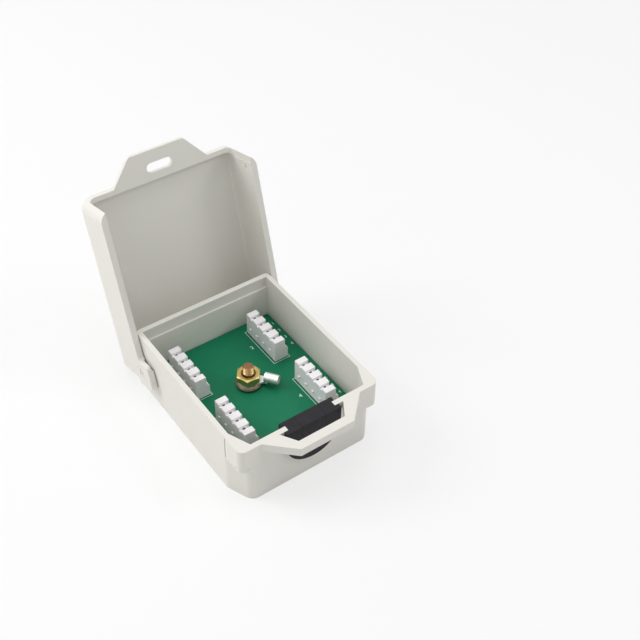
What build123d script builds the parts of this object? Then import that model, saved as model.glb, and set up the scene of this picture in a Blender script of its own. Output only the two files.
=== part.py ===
from build123d import *
from math import hypot
import os

# Outdoor surge protector for a network line: a moulded tub with a hinged lid, a circuit board with four
# 4-pole terminal blocks and a brass ground stud. Units are millimetres.
# The origin is the centre of the tub's flat underside, +Y points to the hinge side, -Y to the cable side.

os.makedirs("parts", exist_ok=True)

# tub
tub_w, tub_d, tub_h = 65.5, 80.2, 31.0
side_wall, front_wall, floor_t = 2.1, 2.3, 2.2
back_wall, back_upper, back_step_z = 3.0, 2.2, 25.6
chamfer_x, chamfer_y = 4.8, 11.1
ear_z, ear_r, low_r = 18.8, 3.0, 4.5
# cable cut-out and hasp loop
cut_r, cut_z = 11.0, 23.2
loop_base, loop_tip, loop_out, loop_t = 23.2, 12.3, 10.6, 4.0
loop_in_base, loop_in_tip, loop_in_out = 15.0, 10.8, 6.7
# hinge
pin_r, pin_play, pin_back, pin_z = 2.2, 0.06, 8.4, 14.7
open_angle = 105.3
# lid, drawn closed and then swung open
lid_gap, lid_wall, lid_panel = 0.4, 2.6, 2.4
lid_top, lid_depth = 37.4, 21.8
lid_front, lid_front_wall, lid_back = 2.4, 2.05, 1.6
front_lip_z, back_lip_z = 31.4, 32.9
tab_t, tab_base, tab_tip, tab_reach = 2.0, 22.6, 12.6, 10.8
front_r, hinge_ear_y, hinge_ear_z = 5.4, 5.6, 6.7
# cable grommet
flange_r, flange_out, seal_r, passage_r, passage_x, passage_z = 12.8, 1.9, 12.4, 2.9, 5.6, 21.5
# circuit board
board_top, board_t, board_gap = 9.9, 1.6, 0.4
board_front = 8.0
# terminal blocks
pitch, poles, block_len = 5.0, 4, 22.3
block_w, foot_w, block_h, foot_h = 5.1, 6.6, 11.2, 5.6
block_left, block_right, front_share, back_share = 10.6, 15.75, 0.1827, 0.2556
front_row_x, back_row_x = 0.35, -0.9
# ground stud
stud_r, shank_r, stud_x, stud_y, stud_end = 2.41, 2.1, -0.15, 5.2, 4.0
hex_af, hex_turn, head_h, nut_h = 9.53, -7.2, 2.8, 3.2
washer_r, washer_t, lug_r, lug_t, lock_r, lock_t = 5.5, 1.4, 4.7, 1.0, 4.2, 1.3
# ring lug: the barrel's two ends from the stud, and its radii
barrel_start, barrel_end, barrel_r, barrel_bore = (5.9, -3.5), (9.55, -8.42), 2.1, 1.5

half_w, half_d = tub_w / 2, tub_d / 2
board_z = board_top - board_t
pin_y = half_d - pin_back
lid_in = half_w + lid_gap
lid_out = lid_in + lid_wall
lid_y0, lid_y1 = -half_d - lid_front, half_d - lid_back
lid_edge = lid_top - lid_depth
pole_ys = [(i - (poles - 1) / 2) * pitch for i in range(poles)]
block_ys = (-front_share * tub_d, back_share * tub_d)
blocks = {name + side: (x + shift, y) for name, shift, y in (("front_", front_row_x, block_ys[0]),
                                                              ("back_", back_row_x, block_ys[1]))
          for side, x in (("left", -half_w + block_left), ("right", half_w - block_right))}
stud_at = (stud_x, stud_y)
lug_z = board_top + washer_t
nut_z = lug_z + lug_t + lock_t
nut_top = nut_z + nut_h


def tub_outline(side, front, back):
    """Plan of the tub with its two tapered front corners, drawn in by a distance at the sides, front and back."""
    run = hypot(chamfer_x, chamfer_y)
    shift_x, shift_y = side * chamfer_y / run, side * chamfer_x / run
    corner_y = -half_d + chamfer_y + shift_y - (side - shift_x) * chamfer_y / chamfer_x
    corner_x = half_w - shift_x - (chamfer_y + shift_y - front) * chamfer_x / chamfer_y
    x, y = half_w - side, half_d - back
    return [(-x, y), (x, y), (x, corner_y), (corner_x, -half_d + front), (-corner_x, -half_d + front), (-x, corner_y)]


# One-piece moulded tub: tapered front corners, solid ears under the front rim corners, hasp loop, hinge pins.
with BuildPart() as tub:
    with BuildSketch(Plane.XY):
        Polygon(*tub_outline(0, 0, 0), align=None)
        fillet([v for v in vertices() if v.Y < 0], low_r)
        fillet([v for v in vertices() if v.Y > half_d - 0.1], 1.6)
    extrude(amount=ear_z)
    with BuildSketch(Plane.XY.offset(ear_z)):
        Rectangle(tub_w, tub_d)
        fillet([v for v in vertices() if v.Y < 0], ear_r)
        fillet([v for v in vertices() if v.Y > half_d - 0.1], 1.6)
    extrude(amount=tub_h - ear_z)
    with BuildSketch(Plane.XY.offset(floor_t)):
        Polygon(*tub_outline(side_wall, front_wall, back_wall), align=None)
    extrude(amount=tub_h, mode=Mode.SUBTRACT)
    with BuildSketch(Plane.XY.offset(back_step_z)):
        with Locations((0, half_d - (back_wall + back_upper) / 2 - 1)):
            Rectangle(tub_w - 2 * side_wall, back_wall - back_upper + 2)
    extrude(amount=tub_h, mode=Mode.SUBTRACT)
    with BuildSketch(Plane.XY.offset(tub_h)):
        Polygon((-loop_base, -half_d + 0.5), (-loop_base, -half_d), (-loop_tip, -half_d - loop_out),
                (loop_tip, -half_d - loop_out), (loop_base, -half_d), (loop_base, -half_d + 0.5), align=None)
        Polygon((-loop_in_base, -half_d + 0.5), (-loop_in_base, -half_d - 0.01),
                (-loop_in_tip, -half_d - loop_in_out), (loop_in_tip, -half_d - loop_in_out),
                (loop_in_base, -half_d - 0.01), (loop_in_base, -half_d + 0.5), align=None, mode=Mode.SUBTRACT)
    extrude(amount=-loop_t)
    with BuildSketch(Plane.XZ.offset(half_d)):
        with Locations((0, cut_z)):
            Circle(cut_r)
        with Locations((0, (cut_z + tub_h + 2) / 2)):
            Rectangle(2 * cut_r, tub_h + 2 - cut_z)
    extrude(amount=-(front_wall + 1), mode=Mode.SUBTRACT)
    for side in (-1, 1):
        with BuildSketch(Plane.YZ.offset(side * half_w)):
            with Locations((pin_y, pin_z)):
                Circle(pin_r)
        extrude(amount=side * (lid_gap + lid_wall - 0.2))
        with BuildSketch(Plane.YZ.offset(side * (lid_out - 0.2))):
            with Locations((pin_y, pin_z)):
                Circle(0.7)
        extrude(amount=-side * 0.5, mode=Mode.SUBTRACT)
        with BuildSketch(Plane.YZ.offset(side * half_w)):
            with Locations((-half_d + 4.2, 20.4)):
                Circle(0.8)
        extrude(amount=side * 0.2)
        with BuildSketch(Plane.XY.offset(ear_z)):
            with Locations((side * half_w, -half_d + chamfer_y)):
                Rectangle(0.6, 0.4)
        extrude(amount=tub_h - ear_z - 1.2, mode=Mode.SUBTRACT)
        with BuildSketch(Plane.XZ.offset(half_d)):
            with Locations((side * (half_w - 2.85), ear_z + 1.6)):
                RegularPolygon(1.0, 12)
        extrude(amount=-0.2, mode=Mode.SUBTRACT)
    with BuildSketch(Plane.XY.offset(floor_t)):
        with Locations(*[(x, y) for x in (5.2 - half_w, half_w - 5.2) for y in (16 - half_d, 0, half_d - 6)]):
            Circle(2.2)
        with Locations(stud_at):
            Circle(hex_af / 2 + 2.8)
    extrude(amount=board_z - floor_t)
    with BuildSketch(Plane.XY.offset(board_z)):
        with Locations(stud_at):
            RegularPolygon(hex_af / 2 + 0.03, 6, major_radius=False, rotation=hex_turn)
    extrude(amount=-head_h, mode=Mode.SUBTRACT)
tub.part.label = "base_tub"
export_step(tub.part, "parts/base_tub.step")

# Moulded lid drawn closed: panel, deep side walls, short front and back lips, slotted tab, hinge ears.
with BuildPart() as closed_lid:
    with BuildSketch(Plane.XY.offset(lid_edge)):
        with Locations((0, (lid_y0 + lid_y1) / 2)):
            Rectangle(2 * lid_out, lid_y1 - lid_y0)
        fillet([v for v in vertices() if v.Y < 0], front_r)
        fillet([v for v in vertices() if v.Y > lid_y1 - 0.1], 3.0)
    extrude(amount=lid_depth)
    fillet(closed_lid.faces().sort_by(Axis.Z)[-1].edges(), 3.6)
    with BuildPart(mode=Mode.SUBTRACT) as cavity:
        with BuildSketch(Plane.XY.offset(lid_edge - 1)):
            with Locations((0, (lid_y0 + lid_front_wall + lid_y1 - 2.0) / 2)):
                Rectangle(2 * lid_in, lid_y1 - lid_y0 - lid_front_wall - 2.0)
            fillet([v for v in vertices() if v.Y < 0], ear_r)
            fillet([v for v in vertices() if v.Y > lid_y1 - 2.1], 1.4)
        extrude(amount=lid_depth - lid_panel + 1)
        fillet(cavity.faces().sort_by(Axis.Z)[-1].edges(), 1.2)
    with BuildSketch(Plane.XZ.offset(-lid_y0 + 1)):
        with Locations((0, (lid_edge - 4 + front_lip_z) / 2)):
            RectangleRounded(2 * lid_in, front_lip_z - lid_edge + 4, 2.0)
    extrude(amount=-(lid_front_wall + 3), mode=Mode.SUBTRACT)
    with BuildSketch(Plane.XZ.offset(-lid_y1 - 1)):
        with Locations((0, (lid_edge - 4 + back_lip_z) / 2)):
            Rectangle(2 * lid_in, back_lip_z - lid_edge + 4)
    extrude(amount=4.5, mode=Mode.SUBTRACT)
    for side in (-1, 1):
        ear_y, low_z = pin_y - hinge_ear_y, pin_z - hinge_ear_z
        ear_drop = lid_edge - low_z
        with BuildSketch(Plane.YZ.offset(side * lid_in)):
            Polygon((ear_y - 4, lid_edge + 4), (lid_y1, lid_edge + 4), (lid_y1, low_z), (ear_y, low_z),
                    (ear_y, lid_edge), (ear_y - 4, lid_edge), align=None)
            fillet([v for v in vertices() if abs(v.X - ear_y) < 0.1 and abs(v.Y - lid_edge) < 0.1],
                   min(2.6, ear_drop * 0.5))
            fillet([v for v in vertices() if abs(v.X - ear_y) < 0.1 and abs(v.Y - low_z) < 0.1],
                   min(1.8, ear_drop * 0.3))
            fillet([v for v in vertices() if abs(v.X - lid_y1) < 0.1 and abs(v.Y - low_z) < 0.1],
                   min(3.2, ear_drop * 0.8))
        extrude(amount=side * lid_wall)
        with BuildSketch(Plane.YZ.offset(side * lid_in)):
            with Locations((ear_y + 0.6, (low_z + lid_edge) / 2 - 1)):
                Rectangle(3.4, lid_edge - low_z)
        extrude(amount=side * 0.8, mode=Mode.SUBTRACT)
        with BuildSketch(Plane.YZ.offset(side * lid_out)):
            with Locations((pin_y - 2.0, pin_z + 3.3)):
                RegularPolygon(0.5, 8)
        extrude(amount=-side * 0.3, mode=Mode.SUBTRACT)
        with BuildSketch(Plane.YZ.offset(side * (lid_in - 1))):
            with Locations((pin_y, pin_z)):
                Circle(pin_r + pin_play)
        extrude(amount=side * (lid_wall + 2), mode=Mode.SUBTRACT)
        with BuildSketch(Plane.YZ.offset(side * lid_in)):
            with Locations((-half_d + 4.2, 20.4)):
                Circle(1.0)
        extrude(amount=side * 0.5, mode=Mode.SUBTRACT)
    with BuildSketch(Plane.XY.offset(front_lip_z)):
        Polygon((-tab_base, lid_y0 + 1.0), (-tab_tip, lid_y0 - tab_reach), (tab_tip, lid_y0 - tab_reach),
                (tab_base, lid_y0 + 1.0), align=None)
        fillet([v for v in vertices() if v.Y < lid_y0 - 1], 2.4)
        with Locations((0, lid_y0 - 3.3)):
            SlotOverall(11.8, 4.2, mode=Mode.SUBTRACT)
    extrude(amount=tab_t)
    with BuildSketch(Plane.XY.offset(lid_top)):
        with Locations((0, (lid_y0 + 6.9 + lid_y1 - 7.5) / 2)):
            RectangleRounded(2 * (lid_out - 9.3), lid_y1 - lid_y0 - 14.4, 1.0)
    extrude(amount=-0.4, mode=Mode.SUBTRACT)
    with BuildSketch(Plane.XY.offset(lid_top)):
        with Locations((-lid_out + 6.8, lid_y1 - 4.2)):
            SlotOverall(3.3, 1.5, rotation=90)
    extrude(amount=-lid_panel, mode=Mode.SUBTRACT)

# The same lid standing open, turned about the hinge pins.
with BuildPart() as lid:
    add(closed_lid.part.rotate(Axis((0, pin_y, pin_z), (1, 0, 0)), -open_angle))
lid.part.label = "lid"
export_step(lid.part, "parts/lid.step")

# Rubber cable grommet clipped into the front cut-out: outer flange, plug, seal flange, two slit cable passages.
grommet_top = tub_h - 0.1
with BuildPart() as grommet:
    for radius, y0, depth in ((flange_r, -half_d - flange_out, flange_out), (cut_r - 0.05, -half_d, front_wall),
                              (seal_r, -half_d + front_wall, 2.3)):
        with BuildSketch(Plane.XZ.offset(-y0)):
            with Locations((0, cut_z)):
                Circle(radius)
            with Locations((0, (cut_z + grommet_top) / 2)):
                Rectangle(2 * radius, grommet_top - cut_z)
            with Locations((0, grommet_top + radius)):
                Rectangle(2 * radius + 2, 2 * radius, mode=Mode.SUBTRACT)
        extrude(amount=-depth)
    with BuildSketch(Plane.XZ.offset(half_d + 4)):
        for x in (-passage_x, passage_x):
            with Locations((x, passage_z)):
                Circle(passage_r)
            with Locations((x, (passage_z + tub_h) / 2)):
                Rectangle(0.08, tub_h - passage_z)
    extrude(amount=-12, mode=Mode.SUBTRACT)
grommet.part.label = "cable_grommet"
export_step(grommet.part, "parts/cable_grommet.step")

pin_cols = (1.5, 3.6)

# Glass-epoxy board on the tub's posts, drilled for the stud and for two pins under every pole.
with BuildPart() as board:
    with BuildSketch(Plane.XY.offset(board_z)):
        Polygon(*tub_outline(side_wall + board_gap, board_front, back_wall + board_gap), align=None)
        with Locations(stud_at):
            Circle(stud_r + 0.12, mode=Mode.SUBTRACT)
        with Locations(*[(bx + px, by + py) for bx, by in blocks.values() for px in pin_cols for py in pole_ys]):
            Rectangle(0.9, 1.1, mode=Mode.SUBTRACT)
    extrude(amount=board_t)
board.part.label = "circuit_board"
export_step(board.part, "parts/circuit_board.step")

for name, (bx, by) in blocks.items():
    # Terminal block housing: ribbed top with a release slot per pole, sloped wire-entry side, test pockets.
    with BuildPart() as block:
        with BuildSketch(Plane.XZ.offset(-by - block_len / 2)):
            Polygon((bx, board_top), (bx + foot_w, board_top), (bx + foot_w, board_top + foot_h),
                    (bx + block_w, board_top + foot_h + 1.6), (bx + block_w, board_top + block_h - 0.2),
                    (bx + block_w - 0.2, board_top + block_h), (bx + 0.2, board_top + block_h),
                    (bx, board_top + block_h - 0.2), align=None)
        extrude(amount=block_len)
        with BuildSketch(Plane.YZ.offset(bx - 0.5)):
            for py in pole_ys:
                Polygon((by + py - 1.0, board_top + block_h + 0.1), (by + py - 0.75, board_top + block_h - 0.25),
                        (by + py - 0.5, board_top + block_h - 1.1), (by + py + 0.45, board_top + block_h - 1.1),
                        (by + py + 0.7, board_top + block_h - 0.25), (by + py + 0.95, board_top + block_h + 0.1),
                        align=None)
        extrude(amount=foot_w + 1, mode=Mode.SUBTRACT)
        with BuildSketch(Plane.XY.offset(board_top + block_h)):
            for py in pole_ys:
                Polygon((bx + 3.4, by + py - 0.5), (bx + block_w + 0.1, by + py - 1.1),
                        (bx + block_w + 0.1, by + py + 1.1), (bx + 3.4, by + py + 0.45), align=None)
        extrude(amount=-2.4, mode=Mode.SUBTRACT)
        with BuildSketch(Plane.XY.offset(board_top + block_h)):
            with Locations(*[(bx + 2.2, by + py) for py in pole_ys]):
                Rectangle(1.2, 1.1)
        extrude(amount=-4, mode=Mode.SUBTRACT)
        with BuildSketch(Plane.XY.offset(board_top)):
            with Locations(*[(bx + 2.55, by + py) for py in pole_ys]):
                Rectangle(3.1, 3.8)
        extrude(amount=7.8, mode=Mode.SUBTRACT)
        entry = Plane(origin=(bx + foot_w - 0.7, by, board_top + foot_h + 1.0), x_dir=(0, 1, 0), z_dir=(0.78, 0, 0.62))
        with BuildSketch(entry.offset(1)):
            with Locations(*[(py, 0) for py in pole_ys]):
                Rectangle(2.0, 1.5)
        extrude(amount=-4.2, mode=Mode.SUBTRACT)
        for py in pole_ys:
            with BuildSketch(Plane.XZ.offset(-by - py - 0.5)):
                Polygon((bx - 0.1, board_top + 3.6), (bx + 0.7, board_top + 4.6), (bx + 0.7, board_top + 5.4),
                        (bx - 0.1, board_top + 5.6), align=None)
            extrude(amount=1.0, mode=Mode.SUBTRACT)
    block.part.label = "block_" + name
    export_step(block.part, "parts/block_" + name + ".step")

    # Spring contacts of that block: a bent strip in every pole with two solder pins through the board.
    with BuildPart() as contact:
        for py in pole_ys:
            with BuildSketch(Plane.XZ.offset(-by - py - 1.5)):
                Polygon((bx + 1.2, board_top + 0.1), (bx + 3.9, board_top + 0.1), (bx + 3.9, board_top + 6.6),
                        (bx + 1.9, board_top + 7.4), (bx + 1.8, board_top + 7.0), (bx + 3.5, board_top + 6.3),
                        (bx + 3.5, board_top + 0.5), (bx + 1.6, board_top + 0.5), (bx + 1.6, board_top + 5.6),
                        (bx + 1.2, board_top + 5.6), align=None)
            extrude(amount=3.0)
        with BuildSketch(Plane.XY.offset(board_z - 1.2)):
            with Locations(*[(bx + px, by + py) for px in pin_cols for py in pole_ys]):
                Rectangle(0.5, 0.8)
        extrude(amount=board_t + 1.2 + 0.3)
    contact.part.label = "contacts_" + name
    export_step(contact.part, "parts/contacts_" + name + ".step")

# Brass ground stud: hex head held in the tub's boss, shank as thick as the thread's root up through the board
# and the nut, and above the nut the free end as thick as the thread's crest.
stud_top = nut_top + stud_end
with BuildPart() as stud:
    with BuildSketch(Plane.XY.offset(board_z - head_h)):
        with Locations(stud_at):
            RegularPolygon(hex_af / 2, 6, major_radius=False, rotation=hex_turn)
    extrude(amount=head_h)
    for radius, low, high in ((shank_r, board_z, nut_top + 0.3), (stud_r, nut_top + 0.3, stud_top)):
        with BuildSketch(Plane.XY.offset(low)):
            with Locations(stud_at):
                Circle(radius)
        extrude(amount=high - low)
    chamfer(stud.faces().sort_by(Axis.Z)[-1].edges(), 0.4)
stud.part.label = "ground_stud"
export_step(stud.part, "parts/ground_stud.step")

# Flat brass washer on the board's ground pad.
with BuildPart() as washer:
    with BuildSketch(Plane.XY.offset(board_top)):
        with Locations(stud_at):
            Circle(washer_r)
            Circle(stud_r + 0.12, mode=Mode.SUBTRACT)
    extrude(amount=washer_t)
washer.part.label = "flat_washer"
export_step(washer.part, "parts/flat_washer.step")

# Tinned ring lug: stamped ring with a bent tongue and a rolled barrel pointing to the cable side.
start = Vector(stud_x + barrel_start[0], stud_y + barrel_start[1], 0)
end = Vector(stud_x + barrel_end[0], stud_y + barrel_end[1], 0)
along = (end - start).normalized()
across = Vector(-along.Y, along.X, 0)
with BuildPart() as lug:
    with BuildSketch(Plane.XY.offset(lug_z)):
        with Locations(stud_at):
            Circle(lug_r)
        tongue = [start - across * 1.6, start - across * 1.6 + along * 1.6, start + across * 1.6 + along * 1.6,
                  start + across * 1.6]
        Polygon((stud_x + 1.0, stud_y - 3.6), *[(v.X, v.Y) for v in tongue], (stud_x + 3.8, stud_y + 1.6),
                align=None)
        with Locations(stud_at):
            Circle(stud_r + 0.12, mode=Mode.SUBTRACT)
    extrude(amount=lug_t)
    barrel = Plane(origin=start + Vector(0, 0, lug_z + lug_t + barrel_bore + 0.05), x_dir=across, z_dir=along)
    with BuildSketch(barrel):
        Circle(barrel_r)
        Circle(barrel_bore, mode=Mode.SUBTRACT)
    extrude(amount=(end - start).length)
lug.part.label = "ring_lug"
export_step(lug.part, "parts/ring_lug.step")

# Spring lock washer with its split, between the lug and the nut.
with BuildPart() as lock_washer:
    with BuildSketch(Plane.XY.offset(lug_z + lug_t)):
        with Locations(stud_at):
            Circle(lock_r)
            Circle(stud_r + 0.12, mode=Mode.SUBTRACT)
        with Locations((stud_x, stud_y - (stud_r + lock_r) / 2)):
            Rectangle(0.7, lock_r - stud_r + 1, mode=Mode.SUBTRACT)
    extrude(amount=lock_t)
lock_washer.part.label = "lock_washer"
export_step(lock_washer.part, "parts/lock_washer.step")

# Brass hex nut with both faces chamfered.
with BuildPart() as nut:
    with BuildSketch(Plane.XY.offset(nut_z)):
        with Locations(stud_at):
            RegularPolygon(hex_af / 2, 6, major_radius=False, rotation=hex_turn)
    extrude(amount=nut_h)
    with BuildPart(mode=Mode.INTERSECT):
        with Locations((stud_x, stud_y, nut_z + nut_h / 2)):
            Cylinder(hex_af / 2 * 1.155, nut_h)
        chamfer(edges().filter_by(GeomType.CIRCLE), 0.6)
    with Locations((stud_x, stud_y, nut_z + nut_h / 2)):
        Cylinder(shank_r + 0.03, nut_h + 1, mode=Mode.SUBTRACT)
nut.part.label = "hex_nut"
export_step(nut.part, "parts/hex_nut.step")

# Surge parts under the board. Two diodes stand beside every block, and one tube stands tube_x from the board's
# middle line, or nearer to it where the diodes need the room.
tube_r, tube_l, tube_x, tube_gap = 2.4, 5.6, 7.6, 0.3
diode_w, diode_l, diode_h, lead_out, lead_w = 4.4, 3.4, 2.2, 2.6, 1.4
diode_beside = {"left": 7.65, "right": -2.5}
diode_xs = {name: bx + diode_beside[name.split("_")[1]] for name, (bx, by) in blocks.items()}
diode_spots = [(diode_xs[name], by + y) for name, (bx, by) in blocks.items() for y in (-pitch / 2, pitch / 2)]
tube_spots = []
for name, (bx, by) in blocks.items():
    room = abs(diode_xs[name]) - lead_out - lead_w / 2 - tube_gap - tube_r
    tube_spots.append((min(tube_x, room) * (1 if bx > 0 else -1), by + (-4.5 if name.startswith("front") else 5.4)))

# Ceramic bodies of the four gas discharge tubes under the board.
with BuildPart() as tubes:
    for x, y in tube_spots:
        with BuildSketch(Plane.XZ.offset(-y - tube_l / 2)):
            with Locations((x, board_z - tube_r)):
                Circle(tube_r - 0.2)
        extrude(amount=tube_l)
tubes.part.label = "gas_tube_bodies"
export_step(tubes.part, "parts/gas_tube_bodies.step")

# Square metal end plates of the gas discharge tubes, soldered flat to the board's underside.
with BuildPart() as caps:
    for x, y in tube_spots:
        for end in (-1, 1):
            with BuildSketch(Plane.XZ.offset(-y - end * tube_l / 2)):
                with Locations((x, board_z - tube_r)):
                    Rectangle(2 * tube_r, 2 * tube_r)
            extrude(amount=-end * 1.1)
caps.part.label = "gas_tube_caps"
export_step(caps.part, "parts/gas_tube_caps.step")

# Clamping diodes in moulded packages under the board, one per line pair.
with BuildPart() as diodes:
    with BuildSketch(Plane.XY.offset(board_z - 0.2 - diode_h)):
        with Locations(*diode_spots):
            Rectangle(diode_w, diode_l)
    extrude(amount=diode_h, taper=-4)
diodes.part.label = "diode_packages"
export_step(diodes.part, "parts/diode_packages.step")

# Folded leads of those diodes, flat on the board's underside.
with BuildPart() as leads:
    with BuildSketch(Plane.XY.offset(board_z - 0.2)):
        for x, y in diode_spots:
            with Locations((x - lead_out, y), (x + lead_out, y)):
                Rectangle(lead_w, 2.0)
    extrude(amount=0.2)
leads.part.label = "diode_leads"
export_step(leads.part, "parts/diode_leads.step")
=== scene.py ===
from math import cos, pi, radians, sin

import bmesh
import bpy
from mathutils import Matrix, Vector


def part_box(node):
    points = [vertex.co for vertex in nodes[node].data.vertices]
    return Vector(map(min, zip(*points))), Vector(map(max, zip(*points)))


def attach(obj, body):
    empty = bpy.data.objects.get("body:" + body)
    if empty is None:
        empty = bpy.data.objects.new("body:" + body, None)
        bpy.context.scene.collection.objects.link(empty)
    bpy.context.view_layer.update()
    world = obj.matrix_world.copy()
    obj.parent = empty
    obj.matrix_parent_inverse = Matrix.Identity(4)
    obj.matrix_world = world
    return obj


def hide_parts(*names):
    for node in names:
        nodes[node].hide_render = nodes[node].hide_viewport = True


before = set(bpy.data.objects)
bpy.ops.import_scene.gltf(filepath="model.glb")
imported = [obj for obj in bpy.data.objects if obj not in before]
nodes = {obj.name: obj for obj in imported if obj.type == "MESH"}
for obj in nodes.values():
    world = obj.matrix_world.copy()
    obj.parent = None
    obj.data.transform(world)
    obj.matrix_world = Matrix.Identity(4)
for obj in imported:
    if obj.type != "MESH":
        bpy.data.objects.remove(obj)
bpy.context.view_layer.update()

mm = 0.001


# The camera stands front left of the open unit and looks down at it, as in the photograph.
# Its place, lens and small roll are fitted to the tub's corners and edges.
def stand(name, data):
    """A new object that carries the data, in the scene."""
    made = bpy.data.objects.new(name, data)
    bpy.context.scene.collection.objects.link(made)
    return made


camera_turn, camera_height, camera_roll = radians(-36.645), radians(43.725), radians(1.376)
camera_data = bpy.data.cameras.new("camera")
camera_data.lens, camera_data.sensor_width = 60.31, 36.0
camera_data.clip_start = 0.01
camera = stand("camera", camera_data)
backward = Vector((sin(camera_turn) * cos(camera_height), -cos(camera_turn) * cos(camera_height),
                   sin(camera_height)))
level = Vector((cos(camera_turn), sin(camera_turn), 0.0))
upward = backward.cross(level)
right = level * cos(camera_roll) + upward * sin(camera_roll)
up = upward * cos(camera_roll) - level * sin(camera_roll)
camera_place = Matrix.Translation((-0.1603, -0.2593, 0.3426))
camera.matrix_world = camera_place @ Matrix((right, up, backward)).transposed().to_4x4()
bpy.context.scene.camera = camera


# The tub is one injection moulding in warm light-grey plastic: floor, four walls with tapered front
# corners, ears under the front rim, the flat hasp loop and the hinge pins. Its outside is finely
# spark-eroded, so it is matt, and every moulded edge is broken by a small radius.
class Number:
    """One value that varies over a surface; arithmetic on it adds Math nodes."""

    def __init__(self, finish, socket):
        self.finish, self.socket = finish, socket

    def maths(self, operation, first, second):
        return self.finish.node("Math", {"operation": operation}, {0: first, 1: second})

    def __add__(self, other):
        return self.maths("ADD", self, other)

    def __mul__(self, other):
        return self.maths("MULTIPLY", self, other)

    def __pow__(self, other):
        return self.maths("POWER", self, other)

    def __gt__(self, other):
        return self.maths("GREATER_THAN", self, other)

    def __lt__(self, other):
        return self.maths("LESS_THAN", self, other)

    __radd__, __rmul__ = __add__, __mul__


class Finish:
    """A material for one of the unit's surfaces, patterned in metres on the piece itself."""

    def __init__(self, name, **constants):
        self.material = bpy.data.materials.new(name)
        self.material.use_nodes = True
        self.tree = self.material.node_tree
        self.skin = self.tree.nodes["Principled BSDF"]
        for socket, value in constants.items():
            self.skin.inputs[socket.replace("_", " ")].default_value = value
        self.place = self.node("TexCoord", output="Object")

    def node(self, kind, settings=None, inputs=None, output=0):
        made = self.tree.nodes.new("ShaderNode" + kind)
        for name, value in (settings or {}).items():
            setattr(made, name, value)
        for name, value in (inputs or {}).items():
            if isinstance(value, Number):
                self.tree.links.new(value.socket, made.inputs[name])
            else:
                made.inputs[name].default_value = value
        return Number(self, made.outputs[output])

    def coordinate(self, axis):
        """The place along one axis, in metres: 0 is across, 1 is along and 2 is up."""
        return self.node("SeparateXYZ", {}, {0: self.place}, axis)

    def grain(self, size, detail, stretch=(1, 1, 1)):
        """Noise from 0 to 1 whose lumps are about size millimetres across."""
        where = self.node("Mapping", {"vector_type": "TEXTURE"},
                          {"Vector": self.place, "Scale": [share * size * mm for share in stretch]})
        return self.node("TexNoise", {}, {"Vector": where, "Scale": 1.0, "Detail": detail}, "Fac")

    def blend(self, factor, first, second):
        """first where the factor is 0, second where it is 1; both are colours."""
        return self.node("Mix", {"data_type": "RGBA"}, {0: factor, 6: first, 7: second}, 2)

    def feed(self, **links):
        for socket, value in links.items():
            self.tree.links.new(value.socket, self.skin.inputs[socket.replace("_", " ")])

    def relief(self, height, depth, strength):
        """Raises the surface by the height value times depth in millimetres."""
        self.feed(Normal=self.node("Bump", {}, {"Height": height, "Distance": depth * mm,
                                                "Strength": strength}))


weld_reach, flat_turn, sharp_turn = 2e-6, radians(0.6), 32


def rounded(node, name, radius, finish, body, segments=2):
    """The CAD node's own shape with its sharp edges rounded by a radius in millimetres, in its place."""
    shape = bmesh.new()
    shape.from_mesh(nodes[node].data)
    bmesh.ops.remove_doubles(shape, verts=shape.verts, dist=weld_reach)
    bmesh.ops.dissolve_limit(shape, angle_limit=flat_turn, verts=shape.verts, edges=shape.edges)
    mesh = bpy.data.meshes.new(name)
    shape.to_mesh(mesh)
    shape.free()
    piece = stand(name, mesh)
    break_edges(piece, radius, sharp_turn, segments)
    return settle(piece, finish, body, sharp_turn, node)


def break_edges(piece, radius, smooth, segments):
    """Rounds every edge that turns by more than smooth degrees."""
    edge = piece.modifiers.new("edge", "BEVEL")
    edge.width, edge.segments = radius * mm, segments
    edge.limit_method, edge.angle_limit = "ANGLE", radians(smooth)
    edge.use_clamp_overlap = True
    bake(piece)


def worked_out(piece):
    """A new mesh of the piece as its modifiers or its curve give it."""
    return bpy.data.meshes.new_from_object(piece.evaluated_get(bpy.context.evaluated_depsgraph_get()))


def bake(piece):
    """Turns the piece's modifiers into its mesh."""
    finished = worked_out(piece)
    finished.name = piece.name
    piece.modifiers.clear()
    piece.data = finished


def settle(piece, finish, body, smooth=sharp_turn, *stands_for):
    """Gives a finished piece its material and shading, flat faces kept flat, and fixes it to its body."""
    piece.data.materials.clear()
    piece.data.materials.append(finish.material)
    piece.data.shade_smooth()
    piece.data.set_sharp_from_angle(angle=radians(smooth))
    flats = piece.modifiers.new("flats", "WEIGHTED_NORMAL")
    flats.keep_sharp = True
    bake(piece)
    if stands_for:
        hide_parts(*stands_for)
    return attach(piece, body)


# Painted shade: a near-black line runs down the tub's side along the rear edge of each front ear, for the
# shade in the step there.
tub_side, seam_front, seam_back, seam_foot, seam_head = 32.6, -29.35, -28.8, 18.9, 29.8
shell_plastic = Finish("warm_grey_moulding", Specular_IOR_Level=0.45)
cloud = shell_plastic.grain(34, 3)
speck = shell_plastic.grain(0.9, 3)
across, along, above = (shell_plastic.coordinate(axis) for axis in range(3))
ear_seam_shade = (across * across > (tub_side * mm) ** 2) * (along > seam_front * mm) * (along < seam_back * mm)
ear_seam_shade = ear_seam_shade * (above > seam_foot * mm) * (above < seam_head * mm)
moulded = shell_plastic.blend(cloud * 0.75 + speck * 0.25, (0.742, 0.728, 0.672, 1), (0.785, 0.771, 0.716, 1))
shell_plastic.feed(Base_Color=shell_plastic.blend(ear_seam_shade, moulded, (0.09, 0.088, 0.08, 1)),
                   Roughness=0.43 + cloud * 0.1 + speck * 0.06)
shell_plastic.relief(shell_plastic.grain(0.45, 3) + shell_plastic.grain(14, 1) * 0.6, 0.03, 0.8)

rounded("base_tub", "tub_shell", 0.3, shell_plastic, "tub")


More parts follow.
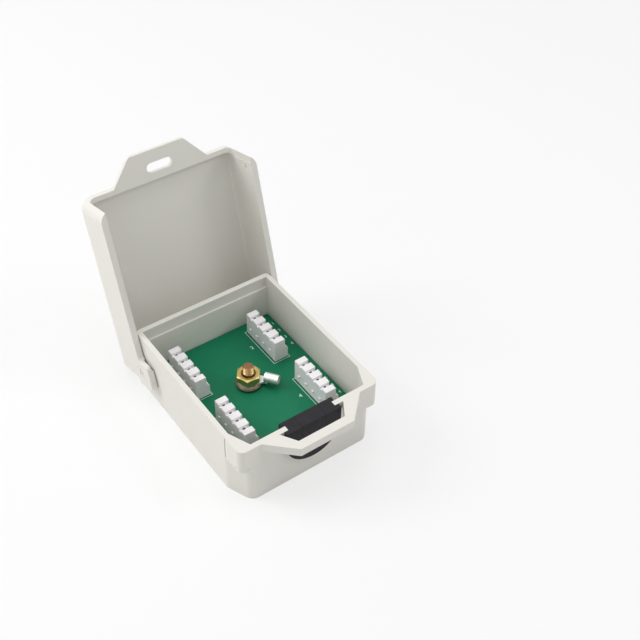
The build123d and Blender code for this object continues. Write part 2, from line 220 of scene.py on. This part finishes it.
# The lid is the second moulding in the same plastic, hinged on the tub's pins and standing open. Its deep
# side walls cover the tub's sides, and its front edge carries the slotted hasp tab.
rounded("lid", "lid_shell", 0.3, shell_plastic, "lid")


# The cable grommet is moulded black rubber, pushed into the U cut-out from inside. Two slit passages
# take the cables, and the rubber is dull with a faint bloom.
rubber = Finish("black_rubber", Specular_IOR_Level=0.22)
bloom = rubber.grain(5, 4)
rubber.feed(Base_Color=rubber.blend(bloom, (0.010, 0.010, 0.013, 1), (0.024, 0.023, 0.028, 1)),
            Roughness=0.48 + bloom * 0.18)
rubber.relief(rubber.grain(0.35, 2), 0.03, 0.7)
rounded("cable_grommet", "grommet_rubber", 0.04, rubber, "tub", segments=1)


# The board is glass-epoxy with a green solder mask on both faces. It rests on the tub's posts and
# is clamped by the ground stud.
mask_green = Finish("green_solder_mask", Specular_IOR_Level=0.25)
weave = mask_green.grain(0.5, 2, (1, 8, 1)) + mask_green.grain(0.5, 2, (8, 1, 1))
patch = mask_green.grain(18, 2)
mottle = patch * 0.8 + weave * 0.1
mask_green.feed(Base_Color=mask_green.blend(mottle, (0.0008, 0.142, 0.064, 1), (0.003, 0.198, 0.094, 1)),
                Roughness=0.36 + patch * 0.1)
mask_green.relief(weave, 0.015, 0.5)
rounded("circuit_board", "board_panel", 0.08, mask_green, "tub", segments=1)


# Terminal block housings: four pale grey mouldings soldered to the board, each with four push-wire poles
# between raised ribs. Every pole has a release slot that opens on the clamp chamber, whose walls carry
# painted shade, and a small lip under its test pocket.
corners = ("front_left", "front_right", "back_left", "back_right")
pole_rows = (-7.5, -2.5, 2.5, 7.5)
foot_w, half_block = 6.6, 11.15
chamber_left, chamber_right, chamber_half, chamber_drop, foot_shade_band = 0.9, 3.3, 10.9, 1.17, 0.35
lip_out, lip_behind, lip_rise, lip_size = 0.15, 0.2, 4.6, (0.9 * mm, 1.25 * mm, 0.5 * mm)
block_at = {}
for corner in corners:
    low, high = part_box("block_" + corner)
    block_at[corner] = (low[0] / mm, (low[1] + high[1]) / 2 / mm)
board_face, rib_top = low[2] / mm, high[2] / mm


def housing_finish(name, left, middle):
    """Pale grey moulding for the block whose left side and middle are given in millimetres. Painted shade
    makes it near-black in the clamp chambers, and a painted shadow darkens a thin band at the block's foot."""
    plastic = Finish(name, Specular_IOR_Level=0.5)
    shade = plastic.grain(6, 3)
    x, y, z = (plastic.coordinate(axis) for axis in range(3))
    # Painted shade: near-black inside the clamp chambers, and a painted shadow in a thin band at the block's
    # foot.
    painted_shade = (x > (left + chamber_left) * mm) * (x < (left + chamber_right) * mm)
    painted_shade = painted_shade * (z < (rib_top - chamber_drop) * mm)
    painted_shade = painted_shade * (y > (middle - chamber_half) * mm) * (y < (middle + chamber_half) * mm)
    painted_shade = painted_shade + (z < (board_face + foot_shade_band) * mm) > 0.5
    pale = plastic.blend(shade, (0.835, 0.812, 0.832, 1), (0.905, 0.882, 0.902, 1))
    plastic.feed(Base_Color=plastic.blend(painted_shade, pale, (0.012, 0.014, 0.014, 1)),
                 Roughness=0.38 + shade * 0.12)
    plastic.relief(plastic.grain(0.3, 2), 0.02, 0.6)
    return plastic


def wire(tree, links):
    """Joins each pair of sockets in the node tree."""
    for source, target in links:
        tree.links.new(source, target)


def planted(name, spots, shape_kind, sizes, finish, turn=(0, 0, 0)):
    """One small shape on every spot, given in millimetres; sizes fill the shape's own inputs by name."""
    mesh = bpy.data.meshes.new(name)
    mesh.from_pydata([[value * mm for value in spot] for spot in spots], [], [])
    piece = stand(name, mesh)
    tree = bpy.data.node_groups.new(name, "GeometryNodeTree")
    tree.interface.new_socket("Spots", in_out="INPUT", socket_type="NodeSocketGeometry")
    tree.interface.new_socket("Shapes", in_out="OUTPUT", socket_type="NodeSocketGeometry")
    kinds = {int: "NodeSocketInt", float: "NodeSocketFloat", tuple: "NodeSocketVector"}
    named = {label: tree.interface.new_socket(label, in_out="INPUT", socket_type=kinds[type(value)])
             for label, value in sizes.items()}
    given, result, shape, plant, real, coat = (tree.nodes.new(kind) for kind in (
        "NodeGroupInput", "NodeGroupOutput", shape_kind, "GeometryNodeInstanceOnPoints",
        "GeometryNodeRealizeInstances", "GeometryNodeSetMaterial"))
    plant.inputs["Rotation"].default_value = turn
    coat.inputs["Material"].default_value = finish.material
    wire(tree, [(given.outputs[label], shape.inputs[label]) for label in sizes])
    wire(tree, [(given.outputs["Spots"], plant.inputs["Points"]),
                (shape.outputs["Mesh"], plant.inputs["Instance"]), (plant.outputs[0], real.inputs[0]),
                (real.outputs[0], coat.inputs[0]), (coat.outputs[0], result.inputs[0])])
    planting = piece.modifiers.new("planting", "NODES")
    planting.node_group = tree
    for label, value in sizes.items():
        planting[named[label].identifier] = value
    bake(piece)
    return piece


for corner in corners:
    left, middle = block_at[corner]
    housing = housing_finish("pale_grey_" + corner, left, middle)
    rounded("block_" + corner, "housing_" + corner, 0.14, housing, "tub")
lips = planted("test_lips", [(left - lip_out, middle + row + lip_behind, board_face + lip_rise)
                             for left, middle in block_at.values() for row in pole_rows],
               "GeometryNodeMeshCube", {"Size": lip_size}, housing)
settle(lips, housing, "tub")


# White ink printed on the board: an outline round every terminal block, and plain numbers for the blocks and
# their poles. It is a thin film with worn patches.
line, clear_left, clear_right, clear_end, film, bolder = 0.28, 0.65, 0.6, 0.3, 0.04, 0.06
block_figure, block_figure_left, pole_figure, figure_behind = 2.6, 3.4, 2.1, 1.9
pole_figure_right, pole_figure_left = 28.7, -28.6
ink = Finish("board_ink", Roughness=0.55)
wear = ink.grain(0.7, 3)
ink.feed(Base_Color=ink.blend(wear, (0.36, 0.58, 0.49, 1), (0.80, 0.88, 0.84, 1)))
printing = bmesh.new()


def bar(left, right, front, back):
    """A printed bar between these edges, in millimetres."""
    place = Matrix.Translation(((left + right) / 2 * mm, (front + back) / 2 * mm, board_face * mm))
    bmesh.ops.create_cube(printing, size=1.0, matrix=place @ Matrix.Diagonal(
        ((right - left) * mm, (back - front) * mm, film * mm, 1.0)))


def figure(number, x, y, tall):
    """A printed number centred on x, y."""
    curve = bpy.data.curves.new("figure", "FONT")
    curve.body, curve.size, curve.extrude, curve.offset = str(number), tall * mm, film / 2 * mm, bolder * mm
    curve.align_x, curve.align_y, curve.resolution_u = "CENTER", "CENTER", 3
    stamp = stand("figure", curve)
    shape = worked_out(stamp)
    shape.transform(Matrix.Translation((x * mm, y * mm, board_face * mm)))
    printing.from_mesh(shape)
    bpy.data.objects.remove(stamp)


for number, corner in enumerate(corners[2:] + corners[:2], 1):
    left, middle = block_at[corner]
    west, east = left - clear_left, left + foot_w + clear_right
    south, north = middle - half_block - clear_end, middle + half_block + clear_end
    bar(west - line, west, south - line, north + line)
    bar(east, east + line, south - line, north + line)
    bar(west, east, south - line, south)
    bar(west, east, north, north + line)
    figure(number, left - block_figure_left, middle + figure_behind, block_figure)
    pole_figure_at = pole_figure_right if left > 0 else pole_figure_left
    for pole, row in enumerate(reversed(pole_rows), 1):
        figure(pole, pole_figure_at, middle + row + figure_behind, pole_figure)
print_mesh = bpy.data.meshes.new("board_print")
printing.to_mesh(print_mesh)
printing.free()
settle(stand("board_print", print_mesh), ink, "tub")


# Spring contacts inside the housings: tinned strip bent to a clamp, with two solder pins that go through the
# board under every pole.
tin = Finish("tinned_metal", Metallic=1.0)
dull = tin.grain(2.5, 4)
tin.feed(Base_Color=tin.blend(dull, (0.76, 0.75, 0.73, 1), (0.90, 0.89, 0.87, 1)), Roughness=0.4 + dull * 0.2)
tin.relief(tin.grain(0.6, 3), 0.02, 0.5)
for corner in corners:
    rounded("contacts_" + corner, "spring_contacts_" + corner, 0.06, tin, "tub", segments=1)


# Solder cones under the board, one round every contact pin. They are tin solder, drawn out along the pin as
# it cooled, and bright where the skin is smooth.
board_thick, pin_columns = 1.6, (1.5, 3.6)
cone_top, cone_foot, cone_tall = 0.3 * mm, 0.85 * mm, 0.9 * mm
solder = Finish("bright_solder", Metallic=1.0)
skin = solder.grain(0.8, 3)
solder.feed(Base_Color=solder.blend(skin, (0.60, 0.60, 0.61, 1), (0.80, 0.80, 0.80, 1)),
            Roughness=0.15 + skin * 0.25)
pins = [(left + pin, middle + row, board_face - board_thick)
        for left, middle in block_at.values() for pin in pin_columns for row in pole_rows]
cones = planted("solder_cones", pins, "GeometryNodeMeshCone",
                {"Vertices": 16, "Radius Top": cone_top, "Radius Bottom": cone_foot, "Depth": cone_tall},
                solder, (pi, 0, 0))
settle(cones, solder, "tub")


# Ground hardware on the board: brass stud with a rolled thread, flat washer, tinned ring lug, split lock
# washer and a chamfered hex nut, countersunk on both faces. The brass is turned, and has gone dull and brown
# with age; the washers' brass is darker still, with painted shade under the nut.
nut_low, nut_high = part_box("hex_nut")
stud_x, stud_y = (nut_low[0] + nut_high[0]) / 2 / mm, (nut_low[1] + nut_high[1]) / 2 / mm
nut_base, nut_face = nut_low[2] / mm, nut_high[2] / mm
stud_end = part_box("ground_stud")[1][2] / mm
nut_flats, nut_turn, nut_hole = 9.53, radians(-7.2), 2.15
chamfer_circle, chamfer_slope = nut_flats / 2 * 0.965, 0.577
sink_under, sink_under_deep, sink_over, sink_over_deep = 2.95, 0.8, 3.2, 1.3
crest, root, pitch, tip_chamfer, thread_steps = 2.41, 1.98, 0.794, 0.45, 44
thread_base, shank_top = nut_face + 0.1, nut_face + 0.15
# The root and one flank take these shares of half a pitch.
root_width, flank_width = 0.12, 0.7
cut_brown, cut_skin = (0.30, 0.155, 0.085, 1), 0.04


def brass_finish(name, bright, aged, polish):
    """Turned brass between two tones, with fine tool rings round the stud's axis and a browner cut end."""
    brass = Finish(name, Metallic=1.0)
    tarnish = brass.grain(3.0, 4)
    centred = brass.node("Mapping", {"vector_type": "TEXTURE"},
                         {"Vector": brass.place, "Location": (stud_x * mm, stud_y * mm, 0),
                          "Scale": [1.2 * mm] * 3})
    rings = brass.node("TexWave", {"wave_type": "RINGS", "rings_direction": "Z"},
                       {"Vector": centred, "Scale": 1.0, "Distortion": 0.4, "Detail": 2.0}, "Fac")
    worn = brass.blend(tarnish ** 1.5, bright, aged)
    on_end = brass.coordinate(2) > (stud_end - cut_skin) * mm
    brass.feed(Base_Color=brass.blend(on_end, worn, cut_brown),
               Roughness=polish + tarnish * 0.2 + rings * 0.04)
    brass.relief(rings * 0.5 + brass.grain(0.8, 3) * 0.6, 0.02, 0.7)
    return brass


def turned(name, sides, first, section, bored):
    """A shape round the stud's axis. section gives its outline (radius, height) in millimetres at each angle,
    from the inside of its foot outwards, up and back in; bored joins the outline's ends through a hole."""
    outline = []
    for side in range(sides):
        angle = first + 2 * pi * side / sides
        outline += [(stud_x * mm + radius * cos(angle) * mm, stud_y * mm + radius * sin(angle) * mm,
                     height * mm) for radius, height in section(angle - first)]
    rows = len(outline) // sides
    faces = []
    for side in range(sides):
        here, there = side * rows, (side + 1) % sides * rows
        for row in range(rows if bored else rows - 1):
            after = (row + 1) % rows
            faces.append((here + row, there + row, there + after, here + after))
    if not bored:
        faces.append([side * rows for side in reversed(range(sides))])
        faces.append([side * rows + rows - 1 for side in range(sides)])
    mesh = bpy.data.meshes.new(name)
    mesh.from_pydata(outline, [], faces)
    return stand(name, mesh)


def thread_section(angle):
    """The threaded end's outline: a blunt V whose crest climbs one pitch a turn, chamfered at the tip."""
    edge = []
    for step in range(thread_steps + 1):
        height = thread_base + (stud_end - thread_base) * step / thread_steps
        phase = abs(((height - thread_base) / pitch - angle / (2 * pi)) % 1.0 - 0.5) * 2
        radius = root + (crest - root) * min(max((phase - root_width) / flank_width, 0.0), 1.0)
        edge.append((min(radius, crest - max(0.0, height - stud_end + tip_chamfer)), height))
    return edge


def nut_section(angle):
    """The nut's outline: across its corners the chamfers bite deeper than across its flats."""
    reach = nut_flats / 2 / cos(angle % (pi / 3) - pi / 6)
    drop = (reach - chamfer_circle) * chamfer_slope
    return [(nut_hole, nut_base + sink_under_deep), (sink_under, nut_base), (chamfer_circle, nut_base),
            (reach, nut_base + drop), (reach, nut_face - drop), (chamfer_circle, nut_face),
            (sink_over, nut_face), (nut_hole, nut_face - sink_over_deep)]


stud_brass = brass_finish("stud_brass", (0.50, 0.34, 0.16, 1), (0.24, 0.14, 0.05, 1), 0.24)
nut_brass = brass_finish("nut_brass", (0.62, 0.49, 0.20, 1), (0.38, 0.28, 0.09, 1), 0.34)
# The washers' brass is tarnished and also much darker than the nut's: painted shade for the washers under the
# nut.
shaded_washer_brass = brass_finish("shaded_washer_brass", (0.24, 0.205, 0.125, 1), (0.10, 0.082, 0.042, 1), 0.3)

# The threaded end stands on the stud's plain shank, whose top is cut level just inside it.
stud = turned("stud", 72, 0.0, thread_section, False)
shank = bmesh.new()
shank.from_mesh(nodes["ground_stud"].data)
bmesh.ops.remove_doubles(shank, verts=shank.verts, dist=weld_reach)
bmesh.ops.bisect_plane(shank, geom=list(shank.verts) + list(shank.edges) + list(shank.faces),
                       plane_co=(0, 0, shank_top * mm), plane_no=(0, 0, 1), clear_outer=True)
bmesh.ops.holes_fill(shank, edges=[edge for edge in shank.edges if edge.is_boundary])
shank.from_mesh(stud.data)
shank.to_mesh(stud.data)
shank.free()
settle(stud, stud_brass, "tub", 35, "ground_stud")

nut = turned("nut", 96, nut_turn, nut_section, True)
break_edges(nut, radius=0.07, smooth=26, segments=2)
settle(nut, nut_brass, "tub", 26, "hex_nut")

rounded("flat_washer", "washer_flat", 0.15, shaded_washer_brass, "tub")
rounded("lock_washer", "washer_split", 0.12, shaded_washer_brass, "tub")
rounded("ring_lug", "lug", 0.12, tin, "tub")


# Surge parts soldered under the board: four gas discharge tubes with ceramic bodies and metal end caps, and
# eight clamping diodes in moulded packages with folded leads.
ceramic = Finish("tube_ceramic")
glaze = ceramic.grain(1.5, 3)
ceramic.feed(Base_Color=ceramic.blend(glaze, (0.74, 0.72, 0.66, 1), (0.84, 0.83, 0.79, 1)),
             Roughness=0.3 + glaze * 0.12)
epoxy = Finish("black_epoxy")
flow = epoxy.grain(1.2, 3)
epoxy.feed(Base_Color=epoxy.blend(flow, (0.012, 0.012, 0.013, 1), (0.03, 0.03, 0.03, 1)),
           Roughness=0.4 + flow * 0.15)
rounded("gas_tube_bodies", "tube_bodies", 0.1, ceramic, "tub")
rounded("gas_tube_caps", "tube_caps", 0.15, tin, "tub")
rounded("diode_packages", "diodes", 0.12, epoxy, "tub")
rounded("diode_leads", "diode_feet", 0.04, tin, "tub", segments=1)


# The pale studio floor, a matt white sheet that keeps the unit's shadow, and a white surround that only the
# camera and reflections see.
floor_mesh = bpy.data.meshes.new("floor")
floor_mesh.from_pydata([(-3, -3, 0), (3, -3, 0), (3, 3, 0), (-3, 3, 0)], [], [(0, 1, 2, 3)])
floor = stand("floor", floor_mesh)
floor_glow = 0.62
sheet_white = Finish("studio_floor", Roughness=0.9, Base_Color=(0.86, 0.86, 0.86, 1))
rays = sheet_white.node("LightPath", output="Is Camera Ray")
glow = sheet_white.node("Emission", {}, {"Color": (1, 1, 1, 1), "Strength": 1.0})
mixed = sheet_white.node("MixShader", {}, {0: rays * floor_glow})
wire(sheet_white.tree, [(sheet_white.skin.outputs[0], mixed.socket.node.inputs[1]),
                        (glow.socket, mixed.socket.node.inputs[2]),
                        (mixed.socket, sheet_white.tree.nodes["Material Output"].inputs["Surface"])])
floor_mesh.materials.append(sheet_white.material)

world = bpy.data.worlds.new("studio")
bpy.context.scene.world = world
world.use_nodes = True
sky = world.node_tree
path, mirrored, seen, mix, white = (sky.nodes.new("ShaderNode" + kind) for kind in (
    "LightPath", "Math", "Math", "MixShader", "Background"))
mirrored.operation = seen.operation = "MAXIMUM"
ambient = sky.nodes["Background"]
ambient.inputs["Strength"].default_value = 0.45
for light in (ambient, white):
    light.inputs["Color"].default_value = (1, 1, 1, 1)
wire(sky, [(path.outputs["Is Camera Ray"], mirrored.inputs[0]),
           (path.outputs["Is Glossy Ray"], mirrored.inputs[1]),
           (mirrored.outputs[0], seen.inputs[0]), (path.outputs["Is Transmission Ray"], seen.inputs[1]),
           (seen.outputs[0], mix.inputs[0]), (ambient.outputs[0], mix.inputs[1]),
           (white.outputs[0], mix.inputs[2]), (mix.outputs[0], sky.nodes["World Output"].inputs["Surface"])])


# Soft studio light: a large softbox high at the back left, one overhead, and two weak ones from the sides
# that fill the shadows.
aim = (0, 0, 0.03)
for name, spot, size, power in (("softbox_back", (-0.60, 0.55, 0.65), 0.50, 4.7),
                                ("softbox_top", (0.0, 0.10, 1.10), 0.60, 3.0),
                                ("softbox_right", (0.65, -0.45, 0.75), 0.35, 1.8),
                                ("softbox_left", (-0.75, -0.15, 0.75), 0.55, 0.6)):
    box = bpy.data.lights.new(name, "AREA")
    box.size, box.energy = size, power
    lamp = stand(name, box)
    facing = (Vector(spot) - Vector(aim)).to_track_quat("Z", "Y")
    lamp.matrix_world = Matrix.Translation(spot) @ facing.to_matrix().to_4x4()

bpy.context.scene.view_settings.view_transform = "Standard"
